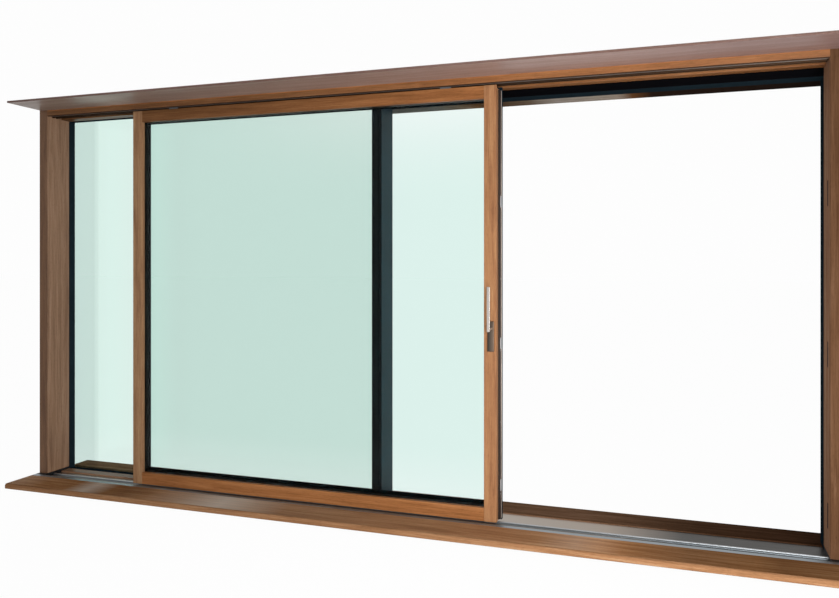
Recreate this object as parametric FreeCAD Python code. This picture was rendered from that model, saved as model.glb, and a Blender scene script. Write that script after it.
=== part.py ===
import FreeCAD, Part
import math
import os

# Lift and slide patio door, millimetres.
# x = 0 is the middle of the clear width, z = 0 the underside of the threshold,
# and y = 0 the room side face of the sliding sash while it is drawn here.
# Every piece is moved along y by the same amount when it is written, so that
# the origin of the files lies below the middle of the whole door.

os.makedirs("parts", exist_ok=True)
V = FreeCAD.Vector

# Sliding sash, it sets the height of everything over it
SASH_WIDTH = 2304.0
SASH_BOTTOM = 60.0
SASH_HEIGHT = 2300.0
SASH_TOP = SASH_BOTTOM + SASH_HEIGHT
SASH_DEPTH = 86.0
RIGHT_RETURN = 14.0          # cladding past the timber at the lock side
ARRIS = 2.5                  # rounding of the timber edges
METAL_ROUND = 1.5            # rounding of the metal edges

# Overall frame
CLEAR_HALF = 2264.0          # half the clear width between the jambs
JAMB_WIDTH = 60.0            # side to side thickness of a jamb
HEAD_HEIGHT = 100.0          # top of the frame over the top of the sash
FRAME_TOP = SASH_TOP + HEAD_HEIGHT
FRAME_FRONT = -18.0          # room side face of the timber frame
TIMBER_BACK = 172.0          # back of the timber frame, start of the metal frame
METAL_BACK = 277.0           # back of the metal frame
OUTER_HALF = CLEAR_HALF + JAMB_WIDTH

# Boards of the reveal
SILL_REACH = -293.0          # front of the inner boards
OUTER_REACH = 415.0          # back of the outer boards
SILL_TOP = 68.0
SILL_THICK = 31.0
SILL_NOSE = 13.0
SILL_UNDER_ROUND = 6.0
PLASTER_LAP = 17.0           # strip of each jamb behind the plaster
SOFFIT_HALF = CLEAR_HALF + JAMB_WIDTH - PLASTER_LAP
SOFFIT_RISE = 45.0           # underside of the soffit board over the sash
SOFFIT_UNDER = SASH_TOP + SOFFIT_RISE
SOFFIT_THICK = 12.0
SOFFIT_ROUND = 3.0
OUTER_SILL_TOP = 49.0
OUTER_SILL_THICK = 28.0
OUTER_HEAD_DROP = 37.0       # lowered head over the doorway, under the top of the sash
OUTER_HEAD_UNDER = SASH_TOP - OUTER_HEAD_DROP
OUTER_HEAD_THICK = 28.0
OUTER_HEAD_ROUND = 4.0

# Threshold and track
CORE_FRONT = -83.0
CORE_BACK = 212.0
CORE_TOP = 42.0
COVER_TOP = 45.0
TRIM_BACK = -50.0
BASE_FOOT = 38.0             # width of the two outer feet under the core
BASE_RELIEF = 7.0
RAIL_CENTRE = 40.0           # y of the track, shared by rail, wheels and guide
RAIL_WIDTH = 10.0
RAIL_TOP = 57.0
RAIL_FOOT = 20.0
RAIL_FLAT = 0.4              # flat left between the two rounded edges of the rail
RAIL_FILLET = 1.0
TRIM_ROUND = 3.0
TRACK_BACK = 105.0           # start of the fixed pieces behind the track

# Head
LIFT = 6.0                   # the lever raises the sash by this much
HEAD_FRONT_GAP = LIFT + 6.0  # front strip of the head over the sash
HEAD_BACK_GAP = 4.0          # back strip of the head over the sash, behind it
RECESS_HEIGHT = 40.0
HEAD_FRONT_UNDER = SASH_TOP + HEAD_FRONT_GAP
HEAD_BACK_UNDER = SASH_TOP + HEAD_BACK_GAP
HEAD_LIP = 10.0              # thickness of the front strip of the head
RECESS_TOP = SASH_TOP + RECESS_HEIGHT
CHANNEL_WIDTH = 34.0
CHANNEL_SHIFT = 3.0          # channel behind the middle of the track
CHANNEL_WALL = 3.0
CHANNEL_UNDER = HEAD_BACK_UNDER
SEAL_WIDTH = 6.0
SEAL_DROP = 5.0
SEAL_TAPER = 1.0
SEAL_ROUND = 1.5
CHANNEL_ROUND = 0.8

# Mullion and fixed light
MULLION_WIDTH = 60.5
LOCK_CLEAR = 6.0             # closed sash from the jamb at the lock side
MEETING = 6.0                # closed sash past the hidden edge of the mullion
MULLION_LEFT = CLEAR_HALF - LOCK_CLEAR - RIGHT_RETURN - SASH_WIDTH + MEETING
MULLION_RIGHT = MULLION_LEFT + MULLION_WIDTH
FIXED_SILL = 52.0            # lower edge of the visible fixed glass
FIXED_COVER_RISE = 3.0       # timber cover over that edge
REBATE_FRONT = 222.0
REBATE_DEPTH = 25.0
REBATE_LEFT = 50.0           # the glass runs deep into the left jamb
FIXED_GLASS_FRONT = 225.0
FIXED_GLASS_THICK = 40.0
GLASS_ROOM = 3.0             # from the edge of the glass to the bottom of the rebate
BEAD_FRONT = 268.0
BEAD_WIDTH = 8.0
FIXED_SPACER_INSET = 3.0
FIXED_SPACER_WIDTH = 9.0
HEAD_COVER_THICK = 3.0
FIXED_GASKET_INSET = 1.0
FIXED_GASKET_WIDTH = 11.0
FIXED_BACK_GASKET = 4.0
PANE = 6.0
GASKET = 3.0

# Hooks of mullion and sash that meet when the door is closed
HOOK_SHEET = 1.5
HOOK_REACH = 22.0
HOOK_GAP = 5.0               # free depth before and behind a hook
HOOK_FLANGE = 10.0
MULLION_STEM = 14.5          # stem of the mullion hook from the doorway edge
SASH_STEM = 20.0             # stem of the sash hook from the edge of the sash
COVER_SHEET = 1.0

# Build-up of the sliding sash
SASH_OPEN = 654.0            # the sash stands this far from the left jamb
SASH_LEFT = -CLEAR_HALF + SASH_OPEN
WOOD_DEPTH = 64.0
FACE = 68.0                  # visible width of stiles and top rail
FACE_BOTTOM = 71.0           # visible height of the bottom rail
LIP = 24.0                   # timber in front of the glass
GLASS_COVER = 16.0           # glass hidden behind the timber face
GLASS_SLACK = 2.0            # room between glass edge and rebate
SASH_GLASS_THICK = 48.0
CLAD_STEP = 4.0              # cladding standing in from the timber face
CLAD_SILL = 17.0             # the same at the bottom rail
CLAD_LIP = 8.0
SPACER_WIDTH = 12.0
SPACER_INSET = 4.0
GASKET_INSET = 2.0
GASKET_WIDTH = 12.0
BACK_GASKET_WIDTH = 15.0
SASH_RIGHT = SASH_LEFT + SASH_WIDTH

# Groove on top of the sash with the two guide blocks
GUIDE_GROOVE = (12.0, 74.0)
GUIDE_GROOVE_DEPTH = 14.0
GUIDE_LENGTH = 60.0
GUIDE_INSET = 285.0
GUIDE_SIDE_GAP = 0.8
GUIDE_BASE = 6.0
GUIDE_EAR = 25.0
GUIDE_TONGUE = 39.0
GUIDE_EAR_THICK = 6.0
GUIDE_PLAY = 2.0             # block from each side of the groove

# Running gear in the bottom rail
GEAR_GROOVE_WIDTH = 34.0
GEAR_WIDTH = 30.0
GEAR_LENGTH = 260.0
GEAR_TOP = 105.0
GEAR_UNDER = 66.0
GEAR_INSET = 180.0
SEAT = 0.3                   # gap where one piece rests on another
WHEEL_R = 19.0
WHEEL_WIDTH = 15.0
WHEEL_PITCH = 120.0
WHEEL_FLANGE = 2.0
TREAD_ROOM = 0.6             # groove of the wheel past each side of the rail
TREAD_SLOPE = 2.6
RAIL_ROOM = 5.0              # free room beside the rail in the ends of the sash
RAIL_ROOM_HEIGHT = 8.0
AXLE_R = 4.0
ROD_R = 5.0
ROD_DROP = 15.0              # link rod under the top of the carriages
POCKET_ROOM = 4.0            # free room round a wheel, and the roof left over it
POCKET_SIDE_ROOM = 2.0

# Lock side
CARRIER_FRONT = 42.0
CARRIER_THICK = 7.0
FACEPLATE_THICK = 3.0
LOCK_FIRST = 185.0           # lowest locking piece over the sash bottom
LOCK_PITCH = 752.5
LOCK_COUNT = 3
LOCK_PROUD = 4.0
LOCK_LENGTH = 60.0
LOCK_SIDE = 4.0              # locking piece from the sides of the faceplate
LOCK_ROUND = 3.0
LOCK_MARGIN = 6.0            # carrier from the bottom and from the guide groove
KEEP_LENGTH = 120.0
KEEP_THICK = 2.0

# Handle
LEVER_INSET = 30.0           # lever from the lock edge of the sash
LEVER_HEIGHT = 1018.0        # lever over the bottom of the sash
LEVER_X = SASH_RIGHT - LEVER_INSET
LEVER_Z = SASH_BOTTOM + LEVER_HEIGHT
PLATE_WIDTH = 34.0
PLATE_SHIFT = 1.0
PLATE_ABOVE = 39.0
PLATE_BELOW = 120.0
PLATE_THICK = 10.0
PLATE_ROUND = 4.0
PLATE_FILLET = 2.0
LEVER_WIDTH = 16.0
LEVER_FRONT = -60.0
LEVER_THICK = 12.0
LEVER_TIP = 222.0
LEVER_HEEL = 6.0             # lever past its width below the spindle
LEVER_HEEL_ROUND = 6.0
LEVER_TIP_ROUND = 3.0
LEVER_FILLET = 2.4
NECK_R = 8.5
NECK_SINK = 2.0              # neck rooted this deep in the lever
SPINDLE_GAP = 0.3

# Anchors in the outside of the jambs
ANCHOR_R = 4.25
ANCHOR_DEPTH = 40.0
ANCHOR_Y = 136.0
ANCHOR_END = 300.0           # anchors from both ends of the frame height
ANCHOR_Z = (ANCHOR_END, FRAME_TOP - ANCHOR_END)

Y_CENTRE = (SILL_REACH + OUTER_REACH) / 2.0


def box(x, y, z):
    """Block between pairs of limits."""
    return Part.makeBox(x[1] - x[0], y[1] - y[0], z[1] - z[0], V(x[0], y[0], z[0]))


def outline(points, place):
    """Face through (a, b) corners, a third number rounds that corner."""
    corners = [(p[0], p[1], p[2] if len(p) > 2 else 0.0) for p in points]
    count = len(corners)
    stations = []
    for i in range(count):
        a, b, r = corners[i]
        if r <= 0.0:
            stations.append((place(a, b), None, place(a, b)))
            continue
        pa, pb, _ = corners[i - 1]
        na, nb, _ = corners[(i + 1) % count]
        here = V(a, b, 0)
        back = (V(pa, pb, 0) - here).normalize()
        ahead = (V(na, nb, 0) - here).normalize()
        half = back.getAngle(ahead) / 2.0
        reach = r / math.tan(half)
        start = here + back * reach
        end = here + ahead * reach
        inward = (back + ahead).normalize()
        middle = here + inward * (r / math.sin(half) - r)
        stations.append((place(start.x, start.y), place(middle.x, middle.y), place(end.x, end.y)))
    edges = []
    for i in range(count):
        first, middle, last = stations[i]
        if middle is not None:
            edges.append(Part.Arc(first, middle, last).toShape())
        following = stations[(i + 1) % count][0]
        if last.distanceToPoint(following) > 1e-6:
            edges.append(Part.LineSegment(last, following).toShape())
    return Part.Face(Part.Wire(edges))


def along_x(points, x0, x1):
    """Profile drawn as (y, z), run from x0 to x1."""
    return outline(points, lambda a, b: V(x0, a, b)).extrude(V(x1 - x0, 0, 0))


def along_y(points, y0, y1):
    """Profile drawn as (x, z), run from y0 to y1."""
    return outline(points, lambda a, b: V(a, y0, b)).extrude(V(0, y1 - y0, 0))


def along_z(points, z0, z1):
    """Profile drawn as (x, y), run from z0 to z1."""
    return outline(points, lambda a, b: V(a, b, z0)).extrude(V(0, 0, z1 - z0))


def round_bar(centre, direction, radius, length):
    """Cylinder from a centre along a direction."""
    return Part.makeCylinder(radius, length, centre, direction)


def ring(x, z, inset, width, y):
    """Rectangular frame lying inside the limits x and z by an inset."""
    outer = box((x[0] + inset, x[1] - inset), y, (z[0] + inset, z[1] - inset))
    far = inset + width
    inner = box((x[0] + far, x[1] - far), (y[0] - 1, y[1] + 1), (z[0] + far, z[1] - far))
    return outer.cut(inner)


def mirror_x(shape):
    """The same shape on the other side of x = 0."""
    return shape.mirror(V(0, 0, 0), V(1, 0, 0))


def write(name, *shapes):
    """Write the solids of one node, centred on the depth of the door."""
    solids = []
    for shape in shapes:
        solids.extend(shape.Solids)
    body = solids[0] if len(solids) == 1 else Part.makeCompound(solids)
    body = body.copy()
    body.translate(V(0, -Y_CENTRE, 0))
    body.exportStep("parts/" + name + ".step")
    low = body.BoundBox
    print(name, len(solids), "solid(s)", [round(v, 1) for v in (
        low.XMin, low.XMax, low.YMin, low.YMax, low.ZMin, low.ZMax)])


FULL = (-OUTER_HALF, OUTER_HALF)
CLEAR = (-CLEAR_HALF, CLEAR_HALF)
FIXED_X = (-CLEAR_HALF, MULLION_LEFT)
DOOR_X = (MULLION_RIGHT, CLEAR_HALF)


# Boards in front of the frame
sill_under = SILL_TOP - SILL_THICK
write("sill_board", along_x([
    (SILL_REACH, sill_under, SILL_UNDER_ROUND),
    (CORE_FRONT, sill_under),
    (CORE_FRONT, SILL_TOP),
    (SILL_REACH, SILL_TOP, SILL_NOSE),
], *FULL))

write("soffit_board", along_x([
    (SILL_REACH, SOFFIT_UNDER, SOFFIT_ROUND),
    (FRAME_FRONT, SOFFIT_UNDER),
    (FRAME_FRONT, SOFFIT_UNDER + SOFFIT_THICK),
    (SILL_REACH, SOFFIT_UNDER + SOFFIT_THICK, SOFFIT_ROUND),
], -SOFFIT_HALF, SOFFIT_HALF))


# Threshold: insulated core, two cover strips, front trim, running rail
foot = (RAIL_CENTRE - RAIL_FOOT / 2.0, RAIL_CENTRE + RAIL_FOOT / 2.0)
write("threshold_core", along_x([
    (CORE_FRONT, 0.0, 2.0),
    (CORE_FRONT + BASE_FOOT, 0.0),
    (CORE_FRONT + BASE_FOOT, BASE_RELIEF),
    (foot[0], BASE_RELIEF),
    (foot[0], 0.0),
    (foot[1], 0.0),
    (foot[1], BASE_RELIEF),
    (CORE_BACK - BASE_FOOT, BASE_RELIEF),
    (CORE_BACK - BASE_FOOT, 0.0),
    (CORE_BACK, 0.0, 2.0),
    (CORE_BACK, CORE_TOP),
    (CORE_FRONT, CORE_TOP),
], *FULL))

write(
    "threshold_cover",
    box(FULL, (TRIM_BACK, foot[0]), (CORE_TOP, COVER_TOP)),
    box(FULL, (foot[1], CORE_BACK), (CORE_TOP, COVER_TOP)),
)

write("threshold_front_trim", along_x([
    (CORE_FRONT, CORE_TOP),
    (TRIM_BACK, CORE_TOP),
    (TRIM_BACK, SILL_TOP, TRIM_ROUND),
    (CORE_FRONT, SILL_TOP, 1.0),
], *FULL))

rail = (RAIL_CENTRE - RAIL_WIDTH / 2.0, RAIL_CENTRE + RAIL_WIDTH / 2.0)
rail_round = (RAIL_WIDTH - RAIL_FLAT) / 2.0
write("running_rail", along_x([
    (foot[0], CORE_TOP),
    (foot[1], CORE_TOP),
    (foot[1], COVER_TOP),
    (rail[1], COVER_TOP, RAIL_FILLET),
    (rail[1], RAIL_TOP, rail_round),
    (rail[0], RAIL_TOP, rail_round),
    (rail[0], COVER_TOP, RAIL_FILLET),
    (foot[0], COVER_TOP),
], *CLEAR))


# Feet of the jambs
end_block = along_z([
    (CLEAR_HALF, TRIM_BACK),
    (OUTER_HALF, TRIM_BACK),
    (OUTER_HALF, TIMBER_BACK),
    (CLEAR_HALF, TIMBER_BACK),
], COVER_TOP, SILL_TOP)
write("jamb_end_blocks", mirror_x(end_block), end_block)


# Cover along the foot of the fixed light
write("fixed_bottom_cover", along_x([
    (TRACK_BACK, COVER_TOP),
    (TIMBER_BACK, COVER_TOP),
    (TIMBER_BACK, FIXED_SILL + FIXED_COVER_RISE),
    (TRACK_BACK, FIXED_SILL + FIXED_COVER_RISE, 2.0),
], *FIXED_X))


# Timber jambs with blind holes for the wall anchors
def jamb():
    post = along_z([
        (CLEAR_HALF, FRAME_FRONT, ARRIS),
        (OUTER_HALF, FRAME_FRONT),
        (OUTER_HALF, TIMBER_BACK),
        (CLEAR_HALF, TIMBER_BACK),
    ], SILL_TOP, FRAME_TOP)
    for level in ANCHOR_Z:
        start = V(OUTER_HALF - ANCHOR_DEPTH, ANCHOR_Y, level)
        post = post.cut(round_bar(start, V(1, 0, 0), ANCHOR_R, ANCHOR_DEPTH + 1.0))
    return post


lock_levels = [SASH_BOTTOM + LOCK_FIRST + LOCK_PITCH * i for i in range(LOCK_COUNT)]
keeps = [
    box((CLEAR_HALF, CLEAR_HALF + KEEP_THICK), (CARRIER_FRONT, WOOD_DEPTH),
        (level - KEEP_LENGTH / 2.0, level + KEEP_LENGTH / 2.0))
    for level in lock_levels
]
right_jamb = jamb()
for keep in keeps:
    right_jamb = right_jamb.cut(keep)
write("left_jamb", mirror_x(jamb()))
write("right_jamb", right_jamb)
write("lock_keeps", *keeps)


# Head: a beam with two strips under it that leave the recess for the sash
write("head_beam", box(CLEAR, (FRAME_FRONT, TIMBER_BACK), (RECESS_TOP, FRAME_TOP)))
head_lip_back = FRAME_FRONT + HEAD_LIP
front_strip = along_x([
    (FRAME_FRONT, HEAD_FRONT_UNDER, ARRIS),
    (head_lip_back, HEAD_FRONT_UNDER),
    (head_lip_back, RECESS_TOP),
    (FRAME_FRONT, RECESS_TOP),
], *CLEAR)
back_strip = along_x([
    (TRACK_BACK, HEAD_BACK_UNDER, 1.0),
    (TIMBER_BACK, HEAD_BACK_UNDER),
    (TIMBER_BACK, RECESS_TOP),
    (TRACK_BACK, RECESS_TOP),
], *CLEAR)
write("head_strips", front_strip, back_strip)

# Seal along the front strip, it brushes the air before the top of the sash
write("head_seal", along_x([
    (head_lip_back - SEAL_WIDTH, HEAD_FRONT_UNDER),
    (head_lip_back - SEAL_WIDTH + SEAL_TAPER, HEAD_FRONT_UNDER - SEAL_DROP, SEAL_ROUND),
    (head_lip_back, HEAD_FRONT_UNDER - SEAL_DROP, SEAL_ROUND),
    (head_lip_back, HEAD_FRONT_UNDER),
], *CLEAR))

channel_middle = RAIL_CENTRE + CHANNEL_SHIFT
channel = (channel_middle - CHANNEL_WIDTH / 2.0, channel_middle + CHANNEL_WIDTH / 2.0)
slot = (channel[0] + CHANNEL_WALL, channel[1] - CHANNEL_WALL)
write("guide_channel", along_x([
    (channel[0], CHANNEL_UNDER, CHANNEL_ROUND),
    (slot[0], CHANNEL_UNDER, CHANNEL_ROUND),
    (slot[0], RECESS_TOP - CHANNEL_WALL),
    (slot[1], RECESS_TOP - CHANNEL_WALL),
    (slot[1], CHANNEL_UNDER, CHANNEL_ROUND),
    (channel[1], CHANNEL_UNDER, CHANNEL_ROUND),
    (channel[1], RECESS_TOP),
    (channel[0], RECESS_TOP),
], *CLEAR))


# Metal frame behind the timber, down to the underside of the outer sill board
outer_foot = OUTER_SILL_TOP - OUTER_SILL_THICK
below_cover = box(FULL, (0.0, CORE_BACK), (0.0, COVER_TOP))


def metal_post(points):
    return along_z(points, outer_foot, FRAME_TOP).cut(below_cover)


left_post = metal_post([
    (-OUTER_HALF, TIMBER_BACK),
    (-CLEAR_HALF, TIMBER_BACK),
    (-CLEAR_HALF, REBATE_FRONT),
    (-CLEAR_HALF - REBATE_LEFT, REBATE_FRONT),
    (-CLEAR_HALF - REBATE_LEFT, METAL_BACK),
    (-OUTER_HALF, METAL_BACK),
])
right_post = metal_post([
    (CLEAR_HALF, TIMBER_BACK),
    (OUTER_HALF, TIMBER_BACK),
    (OUTER_HALF, METAL_BACK),
    (CLEAR_HALF, METAL_BACK, METAL_ROUND),
])
write("outer_jambs", left_post, right_post)

mullion = metal_post([
    (MULLION_LEFT, TRACK_BACK, METAL_ROUND),
    (MULLION_RIGHT, TRACK_BACK, METAL_ROUND),
    (MULLION_RIGHT, METAL_BACK, METAL_ROUND),
    (MULLION_LEFT + REBATE_DEPTH, METAL_BACK),
    (MULLION_LEFT + REBATE_DEPTH, REBATE_FRONT),
    (MULLION_LEFT, REBATE_FRONT),
])
write("mullion_body", mullion.cut(box(FULL, (0.0, TIMBER_BACK), (HEAD_BACK_UNDER, FRAME_TOP + 1.0))))

write("outer_head_fixed", along_x([
    (TIMBER_BACK, HEAD_BACK_UNDER),
    (REBATE_FRONT, HEAD_BACK_UNDER),
    (REBATE_FRONT, HEAD_BACK_UNDER + REBATE_DEPTH),
    (METAL_BACK, HEAD_BACK_UNDER + REBATE_DEPTH),
    (METAL_BACK, FRAME_TOP),
    (TIMBER_BACK, FRAME_TOP),
], *FIXED_X))

write("outer_frame_bottom", along_x([
    (TIMBER_BACK, COVER_TOP),
    (CORE_BACK, COVER_TOP),
    (CORE_BACK, outer_foot),
    (METAL_BACK, outer_foot),
    (METAL_BACK, FIXED_SILL - REBATE_DEPTH),
    (REBATE_FRONT, FIXED_SILL - REBATE_DEPTH),
    (REBATE_FRONT, FIXED_SILL),
    (TIMBER_BACK, FIXED_SILL),
], *FIXED_X))

write("outer_head_profile", along_x([
    (TIMBER_BACK, OUTER_HEAD_UNDER),
    (METAL_BACK, OUTER_HEAD_UNDER),
    (METAL_BACK, FRAME_TOP),
    (TIMBER_BACK, FRAME_TOP),
], *DOOR_X))

write("outer_head_cover", along_x([
    (TIMBER_BACK - HEAD_COVER_THICK, OUTER_HEAD_UNDER, 1.0),
    (TIMBER_BACK, OUTER_HEAD_UNDER),
    (TIMBER_BACK, HEAD_BACK_UNDER),
    (TIMBER_BACK - HEAD_COVER_THICK, HEAD_BACK_UNDER),
], *DOOR_X))


# Boards on the outside
write("outer_head_board", along_x([
    (METAL_BACK, OUTER_HEAD_UNDER),
    (OUTER_REACH, OUTER_HEAD_UNDER, OUTER_HEAD_ROUND),
    (OUTER_REACH, OUTER_HEAD_UNDER + OUTER_HEAD_THICK, OUTER_HEAD_ROUND),
    (METAL_BACK, OUTER_HEAD_UNDER + OUTER_HEAD_THICK),
], MULLION_RIGHT, OUTER_HALF))

write("outer_sill_board", along_z([
    (MULLION_RIGHT, CORE_BACK),
    (CLEAR_HALF, CORE_BACK),
    (CLEAR_HALF, METAL_BACK),
    (OUTER_HALF, METAL_BACK),
    (OUTER_HALF, OUTER_REACH),
    (-OUTER_HALF, OUTER_REACH),
    (-OUTER_HALF, METAL_BACK),
    (MULLION_RIGHT, METAL_BACK),
], outer_foot, OUTER_SILL_TOP))


# Fixed insulating glass in the rebate of jamb, mullion, head and foot
bead_x = (FIXED_X[0] - REBATE_LEFT, FIXED_X[1] + REBATE_DEPTH)
bead_z = (FIXED_SILL - REBATE_DEPTH, HEAD_BACK_UNDER + REBATE_DEPTH)
fixed_x = (bead_x[0] + GLASS_ROOM, bead_x[1] - GLASS_ROOM)
fixed_z = (bead_z[0] + GLASS_ROOM, bead_z[1] - GLASS_ROOM)
fixed_back = FIXED_GLASS_FRONT + FIXED_GLASS_THICK
write(
    "fixed_glass_panes",
    box(fixed_x, (FIXED_GLASS_FRONT, FIXED_GLASS_FRONT + PANE), fixed_z),
    box(fixed_x, (fixed_back - PANE, fixed_back), fixed_z),
)
write("fixed_spacer", ring(fixed_x, fixed_z, FIXED_SPACER_INSET, FIXED_SPACER_WIDTH,
                           (FIXED_GLASS_FRONT + PANE, fixed_back - PANE)))
write(
    "fixed_gaskets",
    ring(fixed_x, fixed_z, FIXED_GASKET_INSET, FIXED_GASKET_WIDTH, (REBATE_FRONT, FIXED_GLASS_FRONT)),
    ring(fixed_x, fixed_z, FIXED_GASKET_INSET, FIXED_BACK_GASKET, (fixed_back, BEAD_FRONT)),
)
write("outer_glazing_beads", ring(bead_x, bead_z, 0.0, BEAD_WIDTH, (BEAD_FRONT, METAL_BACK)))


# Cover with its hook on the face of the mullion
hook_front = SASH_DEPTH + HOOK_GAP
cover_front = TRACK_BACK - COVER_SHEET
stem = MULLION_RIGHT - MULLION_STEM
write("mullion_interlock", along_z([
    (MULLION_LEFT + METAL_ROUND, TRACK_BACK),
    (MULLION_LEFT + METAL_ROUND, cover_front),
    (stem - HOOK_SHEET, cover_front),
    (stem - HOOK_SHEET, hook_front + HOOK_SHEET),
    (stem - HOOK_REACH, hook_front + HOOK_SHEET),
    (stem - HOOK_REACH, hook_front),
    (stem, hook_front),
    (stem, cover_front),
    (MULLION_RIGHT - METAL_ROUND, cover_front),
    (MULLION_RIGHT - METAL_ROUND, TRACK_BACK),
], COVER_TOP, HEAD_BACK_UNDER))


# Timber of the sliding sash
wall_in = FACE - GLASS_COVER - GLASS_SLACK
wall_in_bottom = FACE_BOTTOM - GLASS_COVER - GLASS_SLACK
guide_floor = SASH_TOP - GUIDE_GROOVE_DEPTH
guide_cut = box(FULL, GUIDE_GROOVE, (guide_floor, SASH_TOP + 1.0))
gear = (RAIL_CENTRE - GEAR_GROOVE_WIDTH / 2.0, RAIL_CENTRE + GEAR_GROOVE_WIDTH / 2.0)
rail_cut = box(FULL, (rail[0] - RAIL_ROOM, rail[1] + RAIL_ROOM),
               (SASH_BOTTOM - 1.0, SASH_BOTTOM + RAIL_ROOM_HEIGHT))


def stile(edge, inward):
    """Upright of the sash from its outer edge, inward is +1 or -1."""
    profile = [
        (edge, 0.0, ARRIS),
        (edge + inward * FACE, 0.0, ARRIS),
        (edge + inward * FACE, LIP),
        (edge + inward * wall_in, LIP),
        (edge + inward * wall_in, WOOD_DEPTH),
        (edge, WOOD_DEPTH),
    ]
    return along_z(profile, SASH_BOTTOM, SASH_TOP).cut(guide_cut).cut(rail_cut)


write("sash_stiles", stile(SASH_LEFT, 1.0), stile(SASH_RIGHT, -1.0))

rail_span = (SASH_LEFT + wall_in, SASH_RIGHT - wall_in)
lip_ends = [
    box((SASH_LEFT, SASH_LEFT + FACE), (-1.0, LIP), (0.0, SASH_TOP + 1.0)),
    box((SASH_RIGHT - FACE, SASH_RIGHT), (-1.0, LIP), (0.0, SASH_TOP + 1.0)),
]
top_rail = along_x([
    (0.0, SASH_TOP - FACE, ARRIS),
    (LIP, SASH_TOP - FACE),
    (LIP, SASH_TOP - wall_in),
    (WOOD_DEPTH, SASH_TOP - wall_in),
    (WOOD_DEPTH, guide_floor),
    (GUIDE_GROOVE[0], guide_floor),
    (GUIDE_GROOVE[0], SASH_TOP),
    (0.0, SASH_TOP, ARRIS),
], *rail_span)
bottom_rail = along_x([
    (0.0, SASH_BOTTOM, ARRIS),
    (gear[0], SASH_BOTTOM),
    (gear[0], GEAR_TOP + SEAT),
    (gear[1], GEAR_TOP + SEAT),
    (gear[1], SASH_BOTTOM),
    (WOOD_DEPTH, SASH_BOTTOM),
    (WOOD_DEPTH, SASH_BOTTOM + wall_in_bottom),
    (LIP, SASH_BOTTOM + wall_in_bottom),
    (LIP, SASH_BOTTOM + FACE_BOTTOM),
    (0.0, SASH_BOTTOM + FACE_BOTTOM, ARRIS),
], *rail_span)
for end in lip_ends:
    top_rail = top_rail.cut(end)
    bottom_rail = bottom_rail.cut(end)
write("sash_top_rail", top_rail)
write("sash_bottom_rail", bottom_rail)


# Metal cladding of the sash
clad_lip_front = SASH_DEPTH - CLAD_LIP
left_clad = along_z([
    (SASH_LEFT, WOOD_DEPTH),
    (SASH_LEFT + wall_in, WOOD_DEPTH),
    (SASH_LEFT + wall_in, clad_lip_front),
    (SASH_LEFT + FACE + CLAD_STEP, clad_lip_front),
    (SASH_LEFT + FACE + CLAD_STEP, SASH_DEPTH, METAL_ROUND),
    (SASH_LEFT, SASH_DEPTH, METAL_ROUND),
], SASH_BOTTOM, SASH_TOP)
right_clad = along_z([
    (SASH_RIGHT + RIGHT_RETURN, WOOD_DEPTH),
    (SASH_RIGHT - wall_in, WOOD_DEPTH),
    (SASH_RIGHT - wall_in, clad_lip_front),
    (SASH_RIGHT - FACE - CLAD_STEP, clad_lip_front),
    (SASH_RIGHT - FACE - CLAD_STEP, SASH_DEPTH, METAL_ROUND),
    (SASH_RIGHT + RIGHT_RETURN, SASH_DEPTH, METAL_ROUND),
], SASH_BOTTOM, SASH_TOP)
write("sash_clad_stiles", left_clad.cut(guide_cut), right_clad.cut(guide_cut))

clad_ends = [
    box((SASH_LEFT, SASH_LEFT + FACE + CLAD_STEP), (clad_lip_front, SASH_DEPTH + 1.0),
        (0.0, SASH_TOP + 1.0)),
    box((SASH_RIGHT - FACE - CLAD_STEP, SASH_RIGHT), (clad_lip_front, SASH_DEPTH + 1.0),
        (0.0, SASH_TOP + 1.0)),
]
clad_top = along_x([
    (WOOD_DEPTH, SASH_TOP - wall_in),
    (clad_lip_front, SASH_TOP - wall_in),
    (clad_lip_front, SASH_TOP - FACE - CLAD_STEP),
    (SASH_DEPTH, SASH_TOP - FACE - CLAD_STEP, METAL_ROUND),
    (SASH_DEPTH, SASH_TOP, METAL_ROUND),
    (GUIDE_GROOVE[1], SASH_TOP),
    (GUIDE_GROOVE[1], guide_floor),
    (WOOD_DEPTH, guide_floor),
], *rail_span)
clad_bottom = along_x([
    (WOOD_DEPTH, SASH_BOTTOM),
    (SASH_DEPTH, SASH_BOTTOM, METAL_ROUND),
    (SASH_DEPTH, SASH_BOTTOM + FACE_BOTTOM + CLAD_SILL, METAL_ROUND),
    (clad_lip_front, SASH_BOTTOM + FACE_BOTTOM + CLAD_SILL),
    (clad_lip_front, SASH_BOTTOM + wall_in_bottom),
    (WOOD_DEPTH, SASH_BOTTOM + wall_in_bottom),
], *rail_span)
for end in clad_ends:
    clad_top = clad_top.cut(end)
    clad_bottom = clad_bottom.cut(end)
write("sash_clad_rails", clad_top, clad_bottom)


# Insulating glass of the sash
glass_x = (SASH_LEFT + FACE - GLASS_COVER, SASH_RIGHT - FACE + GLASS_COVER)
glass_z = (SASH_BOTTOM + FACE_BOTTOM - GLASS_COVER, SASH_TOP - FACE + GLASS_COVER)
glass_front = LIP + GASKET
glass_back = glass_front + SASH_GLASS_THICK
write(
    "sash_glass_panes",
    box(glass_x, (glass_front, glass_front + PANE), glass_z),
    box(glass_x, (glass_back - PANE, glass_back), glass_z),
)
write("sash_spacer", ring(glass_x, glass_z, SPACER_INSET, SPACER_WIDTH,
                          (glass_front + PANE, glass_back - PANE)))
write(
    "sash_gaskets",
    ring(glass_x, glass_z, GASKET_INSET, GASKET_WIDTH, (LIP, glass_front)),
    ring(glass_x, glass_z, GASKET_INSET, BACK_GASKET_WIDTH, (glass_back, clad_lip_front)),
)


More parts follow.
